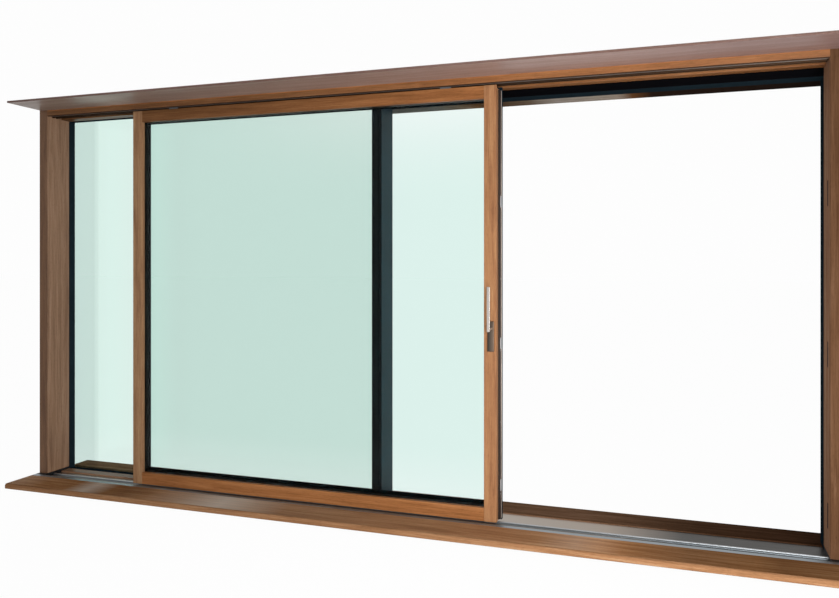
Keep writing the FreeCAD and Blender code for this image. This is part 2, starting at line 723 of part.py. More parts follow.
# Guide blocks running in the channel of the head
def guide_block(centre):
    tongue = (slot[0] + GUIDE_SIDE_GAP, slot[1] - GUIDE_SIDE_GAP)
    front = GUIDE_GROOVE[0] + GUIDE_PLAY
    profile = [
        (front, guide_floor),
        (GUIDE_GROOVE[1] - GUIDE_PLAY, guide_floor),
        (GUIDE_GROOVE[1] - GUIDE_PLAY, guide_floor + GUIDE_BASE, 1.0),
        (tongue[1], guide_floor + GUIDE_BASE, 1.0),
        (tongue[1], guide_floor + GUIDE_TONGUE, 2.0),
        (tongue[0], guide_floor + GUIDE_TONGUE, 2.0),
        (tongue[0], guide_floor + GUIDE_BASE, 1.0),
        (front + GUIDE_EAR_THICK, guide_floor + GUIDE_BASE, 1.0),
        (front + GUIDE_EAR_THICK, guide_floor + GUIDE_EAR, 2.0),
        (front, guide_floor + GUIDE_EAR, 2.0),
    ]
    return along_x(profile, centre - GUIDE_LENGTH / 2.0, centre + GUIDE_LENGTH / 2.0)


write("sash_guide_blocks", guide_block(SASH_LEFT + GUIDE_INSET), guide_block(SASH_RIGHT - GUIDE_INSET))


# Hook profile on the back of the left stile, it closes behind the mullion hook
hook_x = SASH_LEFT + SASH_STEM
hook_rear = hook_front + HOOK_SHEET + HOOK_GAP
write("sash_interlock", along_z([
    (hook_x - HOOK_FLANGE, SASH_DEPTH),
    (hook_x + HOOK_SHEET, SASH_DEPTH),
    (hook_x + HOOK_SHEET, hook_rear),
    (hook_x + HOOK_REACH, hook_rear),
    (hook_x + HOOK_REACH, hook_rear + HOOK_SHEET),
    (hook_x, hook_rear + HOOK_SHEET),
    (hook_x, SASH_DEPTH + HOOK_SHEET),
    (hook_x - HOOK_FLANGE, SASH_DEPTH + HOOK_SHEET),
], SASH_BOTTOM, SASH_TOP))


# Lock side: carrier, faceplate and locking pieces
carrier_z = (SASH_BOTTOM + LOCK_MARGIN, guide_floor - LOCK_MARGIN)
write("lock_carrier", box((SASH_RIGHT, SASH_RIGHT + CARRIER_THICK),
                          (CARRIER_FRONT, WOOD_DEPTH), carrier_z))
face_x = (SASH_RIGHT + CARRIER_THICK, SASH_RIGHT + CARRIER_THICK + FACEPLATE_THICK)
write("lock_faceplate", box(face_x, (CARRIER_FRONT, WOOD_DEPTH), carrier_z))


def locking_piece(level):
    half = LOCK_LENGTH / 2.0
    profile = [
        (face_x[1], level - half),
        (face_x[1] + LOCK_PROUD, level - half, LOCK_ROUND),
        (face_x[1] + LOCK_PROUD, level + half, LOCK_ROUND),
        (face_x[1], level + half),
    ]
    return along_y(profile, CARRIER_FRONT + LOCK_SIDE, WOOD_DEPTH - LOCK_SIDE)


write("locking_points", *[locking_piece(level) for level in lock_levels])


# Running gear: two carriages with two grooved wheels each and a link rod
wheel_z = RAIL_TOP + SEAT + WHEEL_R
gear_y = (RAIL_CENTRE - GEAR_WIDTH / 2.0, RAIL_CENTRE + GEAR_WIDTH / 2.0)
gear_centres = (SASH_LEFT + GEAR_INSET + GEAR_LENGTH / 2.0, SASH_RIGHT - GEAR_INSET - GEAR_LENGTH / 2.0)


def wheel_spots(centre):
    return (centre - WHEEL_PITCH / 2.0, centre + WHEEL_PITCH / 2.0)


def carriage(centre):
    body = along_y([
        (centre - GEAR_LENGTH / 2.0, GEAR_UNDER, 8.0),
        (centre + GEAR_LENGTH / 2.0, GEAR_UNDER, 8.0),
        (centre + GEAR_LENGTH / 2.0, GEAR_TOP, 4.0),
        (centre - GEAR_LENGTH / 2.0, GEAR_TOP, 4.0),
    ], *gear_y)
    room = WHEEL_WIDTH / 2.0 + POCKET_SIDE_ROOM
    for spot in wheel_spots(centre):
        pocket = box((spot - WHEEL_R - POCKET_ROOM, spot + WHEEL_R + POCKET_ROOM),
                     (RAIL_CENTRE - room, RAIL_CENTRE + room), (GEAR_UNDER - 1.0, GEAR_TOP - POCKET_ROOM))
        hole = round_bar(V(spot, gear_y[0] - 1.0, wheel_z), V(0, 1, 0),
                         AXLE_R + SEAT / 2.0, GEAR_WIDTH + 2.0)
        body = body.cut(pocket).cut(hole)
    return body


def wheel(spot):
    """Grooved wheel with its axle, turned about an axis along y."""
    half = WHEEL_WIDTH / 2.0
    tread = RAIL_WIDTH / 2.0 + TREAD_ROOM
    rim = WHEEL_R + WHEEL_FLANGE
    section = outline([
        (-GEAR_WIDTH / 2.0, 0.0),
        (-GEAR_WIDTH / 2.0, AXLE_R),
        (-half, AXLE_R),
        (-half, rim),
        (-tread, rim),
        (-tread + TREAD_SLOPE, WHEEL_R),
        (tread - TREAD_SLOPE, WHEEL_R),
        (tread, rim),
        (half, rim),
        (half, AXLE_R),
        (GEAR_WIDTH / 2.0, AXLE_R),
        (GEAR_WIDTH / 2.0, 0.0),
    ], lambda a, b: V(spot, RAIL_CENTRE + a, wheel_z + b))
    return section.revolve(V(spot, RAIL_CENTRE, wheel_z), V(0, 1, 0), 360.0)


write("carriage_housings", *[carriage(centre) for centre in gear_centres])
write("rollers", *[wheel(spot) for centre in gear_centres for spot in wheel_spots(centre)])
rod_start = gear_centres[0] + GEAR_LENGTH / 2.0
rod_length = gear_centres[1] - GEAR_LENGTH / 2.0 - rod_start
rod_end = V(rod_start, RAIL_CENTRE, GEAR_TOP - ROD_DROP)
write("carriage_rod", round_bar(rod_end, V(1, 0, 0), ROD_R, rod_length))


# Handle
plate_x = (LEVER_X + PLATE_SHIFT - PLATE_WIDTH / 2.0, LEVER_X + PLATE_SHIFT + PLATE_WIDTH / 2.0)
plate_z = (LEVER_Z - PLATE_BELOW, LEVER_Z + PLATE_ABOVE)
plate = along_y([
    (plate_x[0], plate_z[0], PLATE_ROUND),
    (plate_x[1], plate_z[0], PLATE_ROUND),
    (plate_x[1], plate_z[1], PLATE_ROUND),
    (plate_x[0], plate_z[1], PLATE_ROUND),
], -PLATE_THICK, 0.0)
front_edges = [e for e in plate.Edges if e.BoundBox.YMax < -PLATE_THICK + 0.01]
write("handle_plate", plate.makeFillet(PLATE_FILLET, front_edges))

half = LEVER_WIDTH / 2.0
grip = along_y([
    (LEVER_X - half, LEVER_Z - half - LEVER_HEEL, LEVER_HEEL_ROUND),
    (LEVER_X + half, LEVER_Z - half - LEVER_HEEL, LEVER_HEEL_ROUND),
    (LEVER_X + half, LEVER_Z + LEVER_TIP, LEVER_TIP_ROUND),
    (LEVER_X - half, LEVER_Z + LEVER_TIP, LEVER_TIP_ROUND),
], LEVER_FRONT, LEVER_FRONT + LEVER_THICK)
rims = [e for e in grip.Edges if e.BoundBox.YLength < 0.01]
grip = grip.makeFillet(LEVER_FILLET, rims)
neck_start = V(LEVER_X, LEVER_FRONT + LEVER_THICK - NECK_SINK, LEVER_Z)
neck = round_bar(neck_start, V(0, 1, 0), NECK_R, -PLATE_THICK - SPINDLE_GAP - neck_start.y)
write("handle_lever", grip.fuse(neck).removeSplitter())
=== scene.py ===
# %% [markdown]
# # A lift and slide patio door in timber and glass
# This notebook dresses a finished construction model of a wide patio door and
# sets it in a plain bright studio. The model comes in first, as a fixed frame:
# every piece has its real size and place in metres, +X runs along the door,
# +Y points outdoors and +Z up. Nothing here moves or reshapes those pieces.
# We only give each one the finish that the real door has, add a few screws, a
# bead and an offcut of board, and place the light and the camera.

import math

import bmesh
import bpy
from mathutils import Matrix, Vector


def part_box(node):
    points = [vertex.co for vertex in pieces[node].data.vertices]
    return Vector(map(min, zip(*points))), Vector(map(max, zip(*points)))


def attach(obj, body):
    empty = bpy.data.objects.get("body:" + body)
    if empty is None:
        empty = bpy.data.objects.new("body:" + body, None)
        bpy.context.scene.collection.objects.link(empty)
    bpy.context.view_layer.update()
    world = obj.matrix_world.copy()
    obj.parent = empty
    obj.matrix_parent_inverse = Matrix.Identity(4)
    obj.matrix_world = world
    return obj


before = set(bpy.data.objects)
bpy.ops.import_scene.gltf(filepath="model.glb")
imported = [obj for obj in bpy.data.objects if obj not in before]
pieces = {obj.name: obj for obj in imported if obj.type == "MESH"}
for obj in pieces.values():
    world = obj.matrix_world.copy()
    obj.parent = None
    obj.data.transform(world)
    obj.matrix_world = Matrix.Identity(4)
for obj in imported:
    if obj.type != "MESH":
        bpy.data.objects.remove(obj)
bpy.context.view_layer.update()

# %% [markdown]
# ## Colours as the eye sees them
# A colour picked by eye is an sRGB value, while a renderer works with linear
# light. Each finish could be written in linear numbers, but nobody can picture
# those. One function turns a hex colour into the linear numbers that Blender's
# sockets expect, with the constants of the sRGB standard, so every finish
# below is a plain hex colour.

# %% Turn a hex colour into linear light
def linear(hex_colour, alpha=1.0):
    channels = [int(hex_colour[i:i + 2], 16) / 255.0 for i in (1, 3, 5)]
    curve = [c / 12.92 if c <= 0.04045 else ((c + 0.055) / 1.055) ** 2.4 for c in channels]
    return (*curve, alpha)


print("mid brown in linear light:", [round(c, 3) for c in linear("#8c5933")[:3]])

# %% [markdown]
# ## Materials from nodes
# A material is a small network. Each node could be made, set and wired in
# lines of its own, but that is long and hides what matters. The helper below
# does it for any kind of node: an input given as another node's output becomes
# a wire, anything else becomes the value of that socket. Values that are the
# same all over a surface stay on the shader's own sockets. A Mix node has its
# colour sockets under numbers only, so these get names here.

# %% One helper for every node
FIRST_COLOUR, SECOND_COLOUR, MIXED_COLOUR = 6, 7, 2


def add(tree, kind, inputs=None, **settings):
    node = tree.nodes.new(kind)
    for name, value in settings.items():
        setattr(node, name, value)
    for socket, value in (inputs or {}).items():
        if isinstance(value, bpy.types.NodeSocket):
            tree.links.new(value, node.inputs[socket])
        else:
            node.inputs[socket].default_value = value
    return node


def new_finish(name):
    """An empty material and its node tree."""
    material = bpy.data.materials.new(name)
    material.use_nodes = True
    material.node_tree.nodes.clear()
    return material, material.node_tree


print("helpers ready")

# %% [markdown]
# ## Painted tone, shade and reflection
# No long board has one tone from end to end. The light and shade that fall
# along a board are painted into its colour as slow changes of tone, with some
# of the wood's own difference from piece to piece. The bright doorway is
# painted as a pale streak of reflection on oiled wood, and the front of a
# board or the foot of a profile is painted a shade deeper than the rest. This
# could be drawn as an image for each piece. Here a colour ramp takes tones at
# places in metres along the door, which stays sharp, needs no image and keeps
# its place in every view. The painted light and shade multiply the colour by
# such tones, the veil of painted reflection mixes it with a pale tone, and the
# edge gives the low side of one place a painted shade of its own.

# %% Tones placed along the door
MM = 0.001
EDGE_BLEND = 1.5 * MM
# The pale tone of the painted reflection
REFLECTION_TONE = "#faf3e6"


def along_door(tree, across, stops):
    """A ramp of colours that are placed at metres along X."""
    first, last = stops[0][0], stops[-1][0]
    spot = add(tree, "ShaderNodeMapRange", {"Value": across, "From Min": first, "From Max": last})
    ramp = add(tree, "ShaderNodeValToRGB", {"Fac": spot.outputs[0]})
    marks = ramp.color_ramp.elements
    marks[0].position, marks[0].color = 0.0, stops[0][1]
    marks[1].position, marks[1].color = 1.0, stops[-1][1]
    for place, tone in stops[1:-1]:
        marks.new((place - first) / (last - first)).color = tone
    return ramp.outputs[0]


def tone_shade_and_sheen(tree, here, colour, tone_and_shade=None, veil=None, edge=None):
    """The colour under its painted light and shade, painted reflection and painted shaded edge, those that
    are given.

    Tones of painted light and shade and shares of the painted reflection are placed
    at metres along X. An edge is an axis, a place on it, and a painted shade that
    holds on the low side of that place.
    """
    if not (tone_and_shade or veil or edge):
        return colour
    parts = add(tree, "ShaderNodeSeparateXYZ", {"Vector": here}).outputs
    result = colour
    # Painted light and shade along the door, with some of the wood's own tone, multiply the colour
    if tone_and_shade:
        tones = along_door(tree, parts["X"], [(place, linear(tone)) for place, tone in tone_and_shade])
        result = add(tree, "ShaderNodeMix",
                     {"Factor": 1.0, FIRST_COLOUR: result, SECOND_COLOUR: tones},
                     data_type="RGBA", blend_type="MULTIPLY").outputs[MIXED_COLOUR]
    # A painted reflection: a pale tone mixed in by shares placed along the door
    if veil:
        shares = along_door(tree, parts["X"], [(place, (share, share, share, 1)) for place, share in veil])
        result = add(tree, "ShaderNodeMix",
                     {"Factor": shares, FIRST_COLOUR: result, SECOND_COLOUR: linear(REFLECTION_TONE)},
                     data_type="RGBA").outputs[MIXED_COLOUR]
    # A painted shade that holds on the low side of one place
    if edge:
        axis, place, shade_tone = edge
        past = add(tree, "ShaderNodeMapRange",
                   {"Value": parts[axis], "From Min": place, "From Max": place + EDGE_BLEND})
        shaded_side = add(tree, "ShaderNodeMix",
                       {"Factor": 1.0, FIRST_COLOUR: colour, SECOND_COLOUR: linear(shade_tone)},
                       data_type="RGBA", blend_type="MULTIPLY").outputs[MIXED_COLOUR]
        result = add(tree, "ShaderNodeMix",
                     {"Factor": past.outputs[0], FIRST_COLOUR: shaded_side, SECOND_COLOUR: result},
                     data_type="RGBA").outputs[MIXED_COLOUR]
    return result


print("an edge blends over", EDGE_BLEND / MM, "mm")

# %% [markdown]
# ## Oiled timber
# The frame, the sash and the inner boards are solid timber, planed along the
# grain and finished with a tinted oil and a thin clear coat. The eye reads
# three things: broad bands where the growth rings run out, fine fibres along
# the board, and small dark pores. A wood image wrapped round the boards would
# repeat and break at their edges. All three are noise stretched along the
# grain instead, which fills the whole board, so one recipe serves every board
# once it knows which way the grain runs. Real fibres are under a millimetre
# wide and would vanish at this distance, so they are drawn about three
# millimetres wide. Oiled wood is only a little glossy: the open grain swallows
# most of the mirror part, which is why the specular level stays low.

# %% Sizes of the figure in the wood
# Width across the grain and length along it
FIGURE = {
    "sway": (180 * MM, 900 * MM),
    "rings": (26 * MM, 700 * MM),
    "fibres": (3.2 * MM, 160 * MM),
    "pores": (1.6 * MM, 22 * MM),
}
SHIFT_RATIO = (1.0, 1.7, 0.6)    # how a board's shift through the noise is shared by X, Y and Z


def grain_scale(width, length, grain):
    """Scale that makes one unit a width across the grain and a length along it."""
    return [1.0 / length if axis == grain else 1.0 / width for axis in "XYZ"]


print("rings", round(FIGURE["rings"][0] / MM), "mm wide, fibres", round(FIGURE["fibres"][0] / MM, 1))

# %% Timber recipe
SWAY = 3.0                   # the rings wander by up to this many widths
RING_SHARE, FIBRE_SHARE = 0.55, 0.45
DARK_END, LIGHT_END = 0.36, 0.64
OPEN_GRAIN = 0.4 * MM


def timber(name, tones, grain, gloss, shine, shift, tone_and_shade, veil, edge):
    """Oiled wood in a dark, a middle and a light tone, its grain along one axis."""
    material, tree = new_finish(name)
    here = add(tree, "ShaderNodeTexCoord").outputs["Object"]
    offset = [shift * ratio for ratio in SHIFT_RATIO]
    space = {}
    for detail, (width, length) in FIGURE.items():
        scale = grain_scale(width, length, grain)
        space[detail] = add(tree, "ShaderNodeMapping",
                            {"Vector": here, "Scale": scale, "Location": offset}).outputs[0]
    drift = add(tree, "ShaderNodeTexNoise", {"Vector": space["sway"], "Scale": 1.0, "Detail": 2.0})
    swayed = add(tree, "ShaderNodeVectorMath",
                 {0: drift.outputs["Color"], 1: (SWAY, SWAY, SWAY), 2: space["rings"]},
                 operation="MULTIPLY_ADD")
    rings = add(tree, "ShaderNodeTexNoise",
                {"Vector": swayed.outputs[0], "Scale": 1.0, "Detail": 4.0, "Roughness": 0.6})
    fibres = add(tree, "ShaderNodeTexNoise",
                 {"Vector": space["fibres"], "Scale": 1.0, "Detail": 3.0, "Roughness": 0.65})
    pores = add(tree, "ShaderNodeTexNoise", {"Vector": space["pores"], "Scale": 1.0, "Detail": 1.0})
    banded = add(tree, "ShaderNodeMath", {0: rings.outputs[0], 1: RING_SHARE}, operation="MULTIPLY")
    grown = add(tree, "ShaderNodeMath",
                {0: fibres.outputs[0], 1: FIBRE_SHARE, 2: banded.outputs[0]}, operation="MULTIPLY_ADD")
    colour = add(tree, "ShaderNodeValToRGB", {"Fac": grown.outputs[0]})
    dark, middle, light = [linear(tone) for tone in tones]
    stops = colour.color_ramp.elements
    stops[0].position, stops[0].color = DARK_END, dark
    stops[1].position, stops[1].color = LIGHT_END, light
    stops.new((DARK_END + LIGHT_END) / 2).color = middle
    pore_mask = add(tree, "ShaderNodeMapRange",
                    {"Value": pores.outputs[0], "From Min": 0.30, "From Max": 0.42,
                     "To Min": 0.72, "To Max": 1.0})
    pored = add(tree, "ShaderNodeMix",
                {"Factor": 1.0, FIRST_COLOUR: colour.outputs[0], SECOND_COLOUR: pore_mask.outputs[0]},
                data_type="RGBA", blend_type="MULTIPLY")
    roughness = add(tree, "ShaderNodeMapRange",
                    {"Value": fibres.outputs[0], "From Min": 0.3, "From Max": 0.7,
                     "To Min": gloss - 0.05, "To Max": gloss + 0.10})
    relief = add(tree, "ShaderNodeMath",
                 {0: fibres.outputs[0], 1: pore_mask.outputs[0]}, operation="ADD")
    bump = add(tree, "ShaderNodeBump",
               {"Height": relief.outputs[0], "Strength": 0.25, "Distance": OPEN_GRAIN})
    shader = add(tree, "ShaderNodeBsdfPrincipled",
                 {"Base Color": tone_shade_and_sheen(tree, here, pored.outputs[MIXED_COLOUR], tone_and_shade, veil, edge),
                  "Roughness": roughness.outputs[0],
                  "Normal": bump.outputs[0], "IOR": 1.5, "Specular IOR Level": shine})
    add(tree, "ShaderNodeOutputMaterial", {"Surface": shader.outputs[0]})
    return material


print("timber recipe ready, open grain", round(OPEN_GRAIN / MM, 1), "mm deep")

# %% [markdown]
# ## One board, one material
# Boards cut from different planks never match exactly, and the grain runs
# along each board. One wood for all would be quicker and look like a print.
# So each timber piece gets its own copy of the recipe, with its own direction,
# its own stretch of the noise and its own three tones. The stiles of the sash
# are golden, its rails and the head a deeper honey, the inner sill is cut from
# the palest wood, and the boards outdoors have no mirror part at all.

# %% Tones, grain direction, roughness and specular level of each board
GOLDEN = ("#82583f", "#9c7050", "#b08562")
HONEY = ("#774b28", "#945f37", "#aa7347")
# A touch lighter than honey: painted light on the undersides of the head strips
AMBER = ("#7b4f2e", "#95623b", "#aa764d")
TAWNY = ("#785843", "#917057", "#a6836a")
RUSSET = ("#7f5c45", "#997358", "#b08a70")
# Pale and grey: painted light that falls up onto the underside of the soffit
ASHEN = ("#907165", "#a08279", "#ae938a")
CHESTNUT = ("#a06f48", "#c28a5d", "#dca97a")
WEATHERED = ("#845f46", "#af8363", "#cfa283")
SILVERED = ("#877c72", "#9b9085", "#aea397")

timber_boards = {
    "sash_stiles": (GOLDEN, "Z", 0.42, 0.08),
    "sash_top_rail": (HONEY, "X", 0.42, 0.10),
    "sash_bottom_rail": (HONEY, "X", 0.42, 0.10),
    "left_jamb": (TAWNY, "Z", 0.38, 0.22),
    "right_jamb": (RUSSET, "Z", 0.45, 0.0),
    "head_beam": (HONEY, "X", 0.36, 0.20),
    "head_strips": (AMBER, "X", 0.36, 0.15),
    "sill_board": (CHESTNUT, "X", 0.30, 0.0),
    "soffit_board": (ASHEN, "X", 0.34, 0.12),
    "fixed_bottom_cover": (TAWNY, "X", 0.32, 0.08),
    "outer_sill_board": (WEATHERED, "X", 0.42, 0.0),
    "outer_head_board": (SILVERED, "X", 0.34, 0.0),
}
print(len(timber_boards), "boards listed")

# %% [markdown]
# ## Painted light and shade on the boards
# The two stiles of the sash are one piece of the model, so a painted tint makes
# the left one cooler and the lock stile warmer, partly the light that falls on
# them and partly their own wood. The sill is painted deepest before the left
# stile and at its right end, a painted shade, and carries painted pale streaks
# of reflection before the glass and the doorway. The boards outdoors are
# painted darker to the right, a painted shade where less light reaches them.
# Separate lamps could do this too, but they would spill on everything else.

# %% Painted light, shade and reflections of the boards
# Painted light and shade along each board, with some of the wood's own tone
TONES_AND_SHADE = {
    "soffit_board": [(-2.3, "#f0f8f0"), (1.2, "#ffffff"), (1.9, "#e2dee0")],
    "sash_top_rail": [(-1.6, "#c2cbd4"), (-0.4, "#d0d4d8"), (0.7, "#ffffff")],
    "head_strips": [(-2.3, "#c4ccd2"), (-0.4, "#ccd0d4"), (0.7, "#f0f0f0"), (2.3, "#ecebe8")],
    "sash_stiles": [(-1.6, "#f4ffff"), (0.4, "#f5f0e4")],
    "sill_board": [(-2.3, "#eceaea"), (-1.9, "#d0ccc8"), (-1.5, "#b0aca8"), (-1.3, "#dedede"),
                   (-0.3, "#d2cfcc"), (0.2, "#d8d2cc"), (0.75, "#dcd6d2"), (1.0, "#eaeff6"),
                   (1.25, "#ffffff"), (1.42, "#d2cec8"), (1.65, "#b2b2b2"), (1.95, "#b0aca4"),
                   (2.05, "#9c9892"), (2.3, "#a6a29c")],
    "outer_sill_board": [(-1.6, "#ffffff"), (-0.9, "#b4b0ac"), (1.1, "#b2b2b2"),
                         (1.7, "#736f6c"), (2.1, "#655f5c")],
    "outer_head_board": [(0.25, "#f4faff"), (0.4, "#ffe8cc"), (0.5, "#e0a878"), (0.6, "#8a6f58"),
                         (0.8, "#b8a898"), (0.95, "#ffffff"), (1.28, "#fffaf4"),
                         (1.36, "#a87a54"), (1.46, "#4a3b34"), (2.3, "#3a3230")],
}
# Shares of a painted reflection: pale streaks of the bright doorway on the oiled wood
PAINTED_REFLECTIONS = {
    "sill_board": [(-2.3, 0.12), (-2.1, 0.0), (-1.9, 0.0), (-1.77, 0.38), (-1.62, 0.0), (-1.35, 0.02),
                   (-1.1, 0.2), (-0.85, 0.5), (-0.65, 0.24), (-0.45, 0.05), (0.3, 0.03), (0.95, 0.01),
                   (1.13, 0.14), (1.35, 0.0), (2.3, 0.0)],
    "soffit_board": [(-2.3, 0.0), (-1.9, 0.04), (-1.7, 0.26), (-1.5, 0.0), (-1.2, 0.04), (0.0, 0.0)],
}
NOSE = 12 * MM
FRONT_EDGE = 2 * MM
# Painted shade on the low side of a place: the rounded nose of the sill and the front arris of the soffit
# and the jambs
EDGES = {
    "sill_board": ("Y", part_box("sill_board")[0][1] + NOSE, "#c4c8d0"),
    "soffit_board": ("Y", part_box("soffit_board")[0][1] + FRONT_EDGE, "#b4aca8"),
    "left_jamb": ("Y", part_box("left_jamb")[0][1] + FRONT_EDGE, "#bcae9c"),
    "right_jamb": ("Y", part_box("right_jamb")[0][1] + FRONT_EDGE, "#958d84"),
}
print(len(TONES_AND_SHADE), "shaded boards,", len(PAINTED_REFLECTIONS), "under a veil,", len(EDGES), "with an edge")

# %% Give every timber piece its board
BOARD_SHIFT = 3.7            # stretch of noise from one board to the next


def dress(name, material):
    slots = pieces[name].data.materials
    if not slots:
        slots.append(material)
    for i in range(len(slots)):
        slots[i] = material


for turn, (name, (tones, grain, gloss, shine)) in enumerate(timber_boards.items()):
    board = timber("Oiled timber " + name.replace("_", " "), tones, grain, gloss, shine,
                   BOARD_SHIFT * turn, TONES_AND_SHADE.get(name), PAINTED_REFLECTIONS.get(name), EDGES.get(name))
    dress(name, board)
print(len(timber_boards), "timber pieces finished")

# %% [markdown]
# ## Powder coated aluminium
# The outside of the door is clad in aluminium with a baked anthracite powder
# coat. Up close it has a fine leathery bump, which scatters light into a soft
# sheen. A plain dark colour would look like card, so the bump, the roughness
# and a slow cloud in the tone come from noise. A paint film is not a metal to
# the eye, so metallic stays at zero and the index of refraction is that of a
# polyester paint. The orange peel is about two millimetres across here, a
# little coarser than real. The mullion is painted bluer than the rest, a
# painted reflection of the sky, and its cover nearly black, a painted shade.
# The frame and the cladding of the sash are painted a shade deeper, as
# painted shade, and are matte.

# %% Anthracite powder coat
PEEL = 2.2 * MM
PEEL_DEPTH = 0.2 * MM
CLOUDS_PER_METRE = 3.0


def powder_coat(name, deep, pale, shine=0.0):
    material, tree = new_finish(name)
    here = add(tree, "ShaderNodeTexCoord").outputs["Object"]
    cloud = add(tree, "ShaderNodeTexNoise",
                {"Vector": here, "Scale": CLOUDS_PER_METRE, "Detail": 3.0})
    tone = add(tree, "ShaderNodeMix",
               {"Factor": cloud.outputs[0], FIRST_COLOUR: linear(deep), SECOND_COLOUR: linear(pale)},
               data_type="RGBA")
    skin = add(tree, "ShaderNodeTexNoise", {"Vector": here, "Scale": 1.0 / PEEL, "Detail": 2.0})
    bump = add(tree, "ShaderNodeBump",
               {"Height": skin.outputs[0], "Strength": 0.12, "Distance": PEEL_DEPTH})
    roughness = add(tree, "ShaderNodeMapRange",
                    {"Value": skin.outputs[0], "To Min": 0.34, "To Max": 0.50})
    shader = add(tree, "ShaderNodeBsdfPrincipled",
                 {"Base Color": tone.outputs[MIXED_COLOUR], "Roughness": roughness.outputs[0],
                  "Normal": bump.outputs[0], "IOR": 1.52, "Specular IOR Level": shine})
    add(tree, "ShaderNodeOutputMaterial", {"Surface": shader.outputs[0]})
    return material


anthracite = powder_coat("Anthracite powder coated aluminium", "#17232a", "#24333a", shine=0.06)
for name in ("outer_glazing_beads", "sash_interlock"):
    dress(name, anthracite)
# The mullion is painted bluer than the rest, a painted reflection of the sky
dress("mullion_body",
      powder_coat("Anthracite mullion with painted sky reflection", "#2b444f", "#375260", shine=0.03))
# The mullion cover is nearly black, a painted shade
dress("mullion_interlock", powder_coat("Shaded anthracite mullion cover", "#081015", "#0d161c"))
# A shade deeper than the anthracite: painted shade on the frame and the cladding of the sash
shaded_anthracite = powder_coat("Matte anthracite powder coat in painted shade", "#151f25", "#1f2c33")
for name in ("outer_jambs", "lock_keeps", "outer_head_fixed", "outer_frame_bottom",
             "outer_head_profile", "sash_clad_stiles", "sash_clad_rails"):
    dress(name, shaded_anthracite)
print("cladding finished, peel", round(PEEL / MM, 1), "mm across")

# %% [markdown]
# ## Drawn and anodised metal
# The threshold, the running rail and the guide channel are extruded aluminium,
# anodised but for the channel, which keeps its mill finish. The running gear
# and the locking pieces are zinc plated steel, the lever is brushed stainless
# steel, and the plate and the faceplate have bronze tones. Extruding, drawing and brushing all leave
# faint lines along a piece. An anisotropic shader would stretch the highlight
# alone, so the lines are noise stretched along the piece, which also shows in
# the tone, the roughness and a very light bump. These are true metals:
# metallic is one and the colour is what the metal reflects.

# %% Drawn metal recipe
DRAWN_LINE = 1.5 * MM
BRUSHED_LINE = 0.9 * MM
LINE_LENGTH = 220 * MM
LINE_DEPTH = 0.1 * MM


def drawn_metal(name, deep, pale, grain, smooth, line=DRAWN_LINE, tone_and_shade=None, edge=None):
    material, tree = new_finish(name)
    here = add(tree, "ShaderNodeTexCoord").outputs["Object"]
    space = add(tree, "ShaderNodeMapping",
                {"Vector": here, "Scale": grain_scale(line, LINE_LENGTH, grain)})
    lines = add(tree, "ShaderNodeTexNoise", {"Vector": space.outputs[0], "Scale": 1.0, "Detail": 3.0})
    tone = add(tree, "ShaderNodeMix",
               {"Factor": lines.outputs[0], FIRST_COLOUR: linear(deep), SECOND_COLOUR: linear(pale)},
               data_type="RGBA")
    roughness = add(tree, "ShaderNodeMapRange",
                    {"Value": lines.outputs[0], "From Min": 0.3, "From Max": 0.7,
                     "To Min": smooth, "To Max": smooth + 0.14})
    bump = add(tree, "ShaderNodeBump",
               {"Height": lines.outputs[0], "Strength": 0.08, "Distance": LINE_DEPTH})
    colour = tone_shade_and_sheen(tree, here, tone.outputs[MIXED_COLOUR], tone_and_shade=tone_and_shade, edge=edge)
    shader = add(tree, "ShaderNodeBsdfPrincipled",
                 {"Base Color": colour, "Metallic": 1.0,
                  "Roughness": roughness.outputs[0], "Normal": bump.outputs[0]})
    add(tree, "ShaderNodeOutputMaterial", {"Surface": shader.outputs[0]})
    return material


print("metal recipe ready, lines", round(DRAWN_LINE / MM, 1), "mm wide")

# %% [markdown]
# ## Which metal goes where
# Below its bright crown the rail is painted a shade deeper, so the crown
# stands out as a painted highlight. The cover of the threshold is painted
# darker toward the lock side, a painted shade, and the foot of the guide
# channel is painted in the brown shade of the timber round it. The handle
# plate is painted from cool and darker at its left edge to warm at its
# right, a painted shade. Each could be a piece of its own, but the real ones
# aren't cut there, so the same painted tone and shaded edge as on the boards
# do it.

# %% Give every metal piece its finish
RAIL_CROWN = 3 * MM
CHANNEL_SHADE = 6 * MM

rail_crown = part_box("running_rail")[1][2] - RAIL_CROWN
# Below its crown the rail is painted a shade deeper, a painted shade
anodised = drawn_metal("Natural anodised aluminium", "#9fa1a4", "#bcbebe", "X", 0.30,
                       edge=("Z", rail_crown, "#ccd2d6"))
# The threshold cover is painted darker toward the lock side, a painted shade
cover_metal = drawn_metal("Grey anodised threshold cover", "#92897f", "#ada297", "X", 0.34,
                          tone_and_shade=[(0.7, "#ffffff"), (1.25, "#efe9e4"), (1.62, "#504f4c"), (2.2, "#44413e")])
# The foot of the guide channel is painted in the brown shade of the timber round it
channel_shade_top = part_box("guide_channel")[0][2] + CHANNEL_SHADE
channel_metal = drawn_metal("Mill finish guide channel", "#80766e", "#9c9188", "X", 0.42,
                            edge=("Z", channel_shade_top, "#7c6450"))
trim_metal = drawn_metal("Blue grey anodised trim", "#7a8287", "#959ca0", "X", 0.36)
zinc = drawn_metal("Zinc plated steel", "#9b9da0", "#c2c3c4", "Z", 0.32)
stainless = drawn_metal("Brushed stainless steel", "#a19a94", "#cbc4be", "Z", 0.22, line=BRUSHED_LINE)
handle_left, handle_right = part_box("handle_plate")[0][0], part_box("handle_plate")[1][0]
